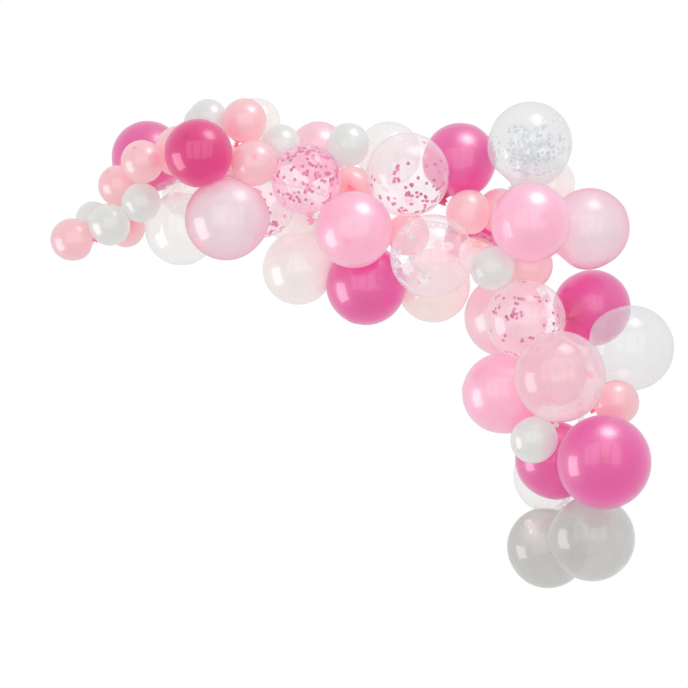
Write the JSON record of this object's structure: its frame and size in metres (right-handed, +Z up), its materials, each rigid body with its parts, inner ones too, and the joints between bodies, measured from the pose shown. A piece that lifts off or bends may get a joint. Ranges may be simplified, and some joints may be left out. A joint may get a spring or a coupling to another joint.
{
  "type": "balloon garland",
  "caption": "Organic balloon garland in pinks, whites and clear confetti balloons, knotted along a flat plastic tape that hangs on wall hooks in a half arch.",
  "frame": {"origin": "on the back of the tape, where the middle wall hook holds it", "axes": "+X to the right along the wall as seen from the front, +Y into the wall, +Z up"},
  "size_m": [1.8059, 0.6968, 1.4301],
  "materials": {
    "hot_pink": "pearly satin latex",
    "pearl_pink": "pearly satin latex",
    "light_pink": "satin latex",
    "pale_pink": "sheer pearl latex",
    "peach": "satin latex",
    "white": "sheer pearl latex",
    "clear": "clear glossy latex with a pearl haze",
    "confetti": "clear glossy latex",
    "salmon": "matt latex",
    "small_white": "matt latex",
    "small_peach": "matt latex",
    "tape": "clear flexible plastic",
    "pink_confetti": "tissue paper",
    "white_confetti": "tissue paper"
  },
  "bodies": {
    "root": {"garland_tape": "tape", "hot_pink_balloon_1": "hot_pink", "hot_pink_balloon_2": "hot_pink", "hot_pink_balloon_3": "hot_pink", "hot_pink_balloon_4": "hot_pink", "hot_pink_balloon_5": "hot_pink", "hot_pink_balloon_6": "hot_pink", "hot_pink_balloon_7": "hot_pink", "hot_pink_balloon_8": "hot_pink", "pearl_pink_balloon_1": "pearl_pink", "pearl_pink_balloon_2": "pearl_pink", "pearl_pink_balloon_3": "pearl_pink", "light_pink_balloon_1": "light_pink", "light_pink_balloon_2": "light_pink", "light_pink_balloon_3": "light_pink", "pale_pink_balloon_1": "pale_pink", "pale_pink_balloon_2": "pale_pink", "peach_balloon_1": "peach", "white_balloon_1": "white", "white_balloon_2": "white", "white_balloon_3": "white", "white_balloon_4": "white", "white_balloon_5": "white", "clear_balloon_1": "clear", "clear_balloon_2": "clear", "clear_balloon_3": "clear", "clear_balloon_4": "clear", "clear_balloon_5": "clear", "clear_balloon_6": "clear", "clear_balloon_7": "clear", "pink_confetti_balloon_1": "confetti", "pink_confetti_balloon_2": "confetti", "pink_confetti_balloon_3": "confetti", "pink_confetti_balloon_4": "confetti", "white_confetti_balloon_1": "confetti", "white_confetti_balloon_2": "confetti", "small_salmon_balloon_1": "salmon", "small_salmon_balloon_2": "salmon", "small_salmon_balloon_3": "salmon", "small_salmon_balloon_4": "salmon", "small_salmon_balloon_5": "salmon", "small_salmon_balloon_6": "salmon", "small_salmon_balloon_7": "salmon", "small_salmon_balloon_8": "salmon", "small_salmon_balloon_9": "salmon", "small_salmon_balloon_10": "salmon", "small_salmon_balloon_11": "salmon", "small_salmon_balloon_12": "salmon", "small_salmon_balloon_13": "salmon", "small_salmon_balloon_14": "salmon", "small_white_balloon_1": "small_white", "small_white_balloon_2": "small_white", "small_white_balloon_3": "small_white", "small_white_balloon_4": "small_white", "small_white_balloon_5": "small_white", "small_white_balloon_6": "small_white", "small_white_balloon_7": "small_white", "small_white_balloon_8": "small_white", "small_white_balloon_9": "small_white", "small_peach_balloon_1": "small_peach"}
  },
  "joints": []
}
